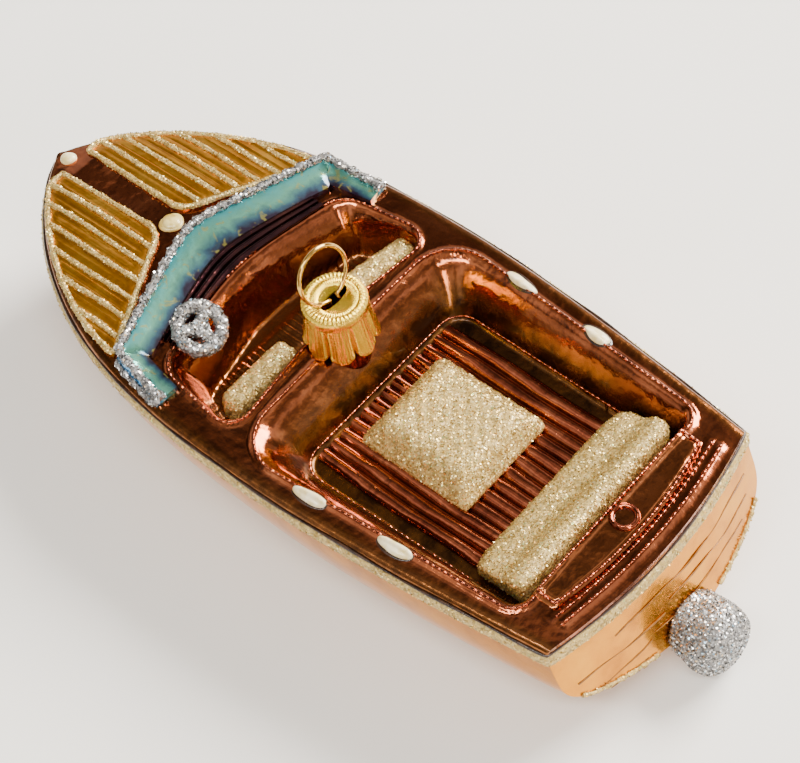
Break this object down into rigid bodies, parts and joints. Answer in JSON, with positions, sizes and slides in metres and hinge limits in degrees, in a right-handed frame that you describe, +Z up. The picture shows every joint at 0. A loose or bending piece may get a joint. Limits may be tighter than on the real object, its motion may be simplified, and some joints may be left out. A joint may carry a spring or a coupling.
{
  "type": "blown-glass motorboat hanging ornament",
  "caption": "Hanging tree ornament of blown glass in the shape of an open runabout motorboat, with glitter-coated seats, a stamped metal neck cap and a wire hanger loop.",
  "frame": {"origin": "on the table under the middle of the ornament's box, where its hull lies", "axes": "+X to the bow, +Y to port, +Z up"},
  "size_m": [0.1326, 0.0546, 0.0407],
  "materials": {
    "gold_lustre_glass": "opaque golden lustre on blown glass, glossy, with fine brown plank lines on the transom",
    "copper_lustre_glass": "opaque copper-brown mirror lustre on blown glass, washed with dark brown in the hollows",
    "amber_lustre_glass": "amber-gold lustre under raised lines of cream glitter",
    "teal_lustre_glass": "iridescent blue-green lustre on glass",
    "cream_glitter": "coarse pale champagne glitter in clear glue",
    "silver_glitter": "coarse silver glitter in clear glue",
    "cream_enamel": "thick glossy cream paint",
    "stamped_brass": "bright yellow stamped sheet with a fine pressed grain",
    "brass_wire": "drawn wire, polished"
  },
  "bodies": {
    "boat": {"hull_shell": "gold_lustre_glass", "deck_shell": "copper_lustre_glass", "neck": "copper_lustre_glass", "sheer_stripe": "cream_glitter", "transom_trim_port": "cream_glitter", "transom_trim_starboard": "cream_glitter", "foredeck_panel_port": "amber_lustre_glass", "foredeck_panel_starboard": "amber_lustre_glass", "bow_light": "cream_enamel", "foredeck_light": "cream_enamel", "cleat_port_fwd": "cream_enamel", "cleat_port_aft": "cream_enamel", "cleat_starboard_fwd": "cream_enamel", "cleat_starboard_aft": "cream_enamel", "windscreen": "teal_lustre_glass", "windscreen_edge": "silver_glitter", "dash": "copper_lustre_glass", "steering_wheel": "silver_glitter", "front_seat_port": "cream_glitter", "front_seat_starboard": "cream_glitter", "rear_floor": "copper_lustre_glass", "engine_box": "cream_glitter", "rear_bench": "cream_glitter", "aft_deck_panel": "copper_lustre_glass", "vent_ring": "copper_lustre_glass", "outdrive": "silver_glitter"},
    "cap": {"crown_cap": "stamped_brass"},
    "hanger": {"hanger_wire": "brass_wire"}
  },
  "joints": [
    {"name": "cap_lift", "type": "slide", "parent": "boat", "child": "cap", "axis": [0, 0, 1], "range_m": [0, 0.02]},
    {"name": "hanger_swing", "type": "hinge", "parent": "cap", "child": "hanger", "pos_m": [0.00453, 0, 0.0315], "axis": [0, 1, 0], "range_deg": [-56, 24]}
  ]
}
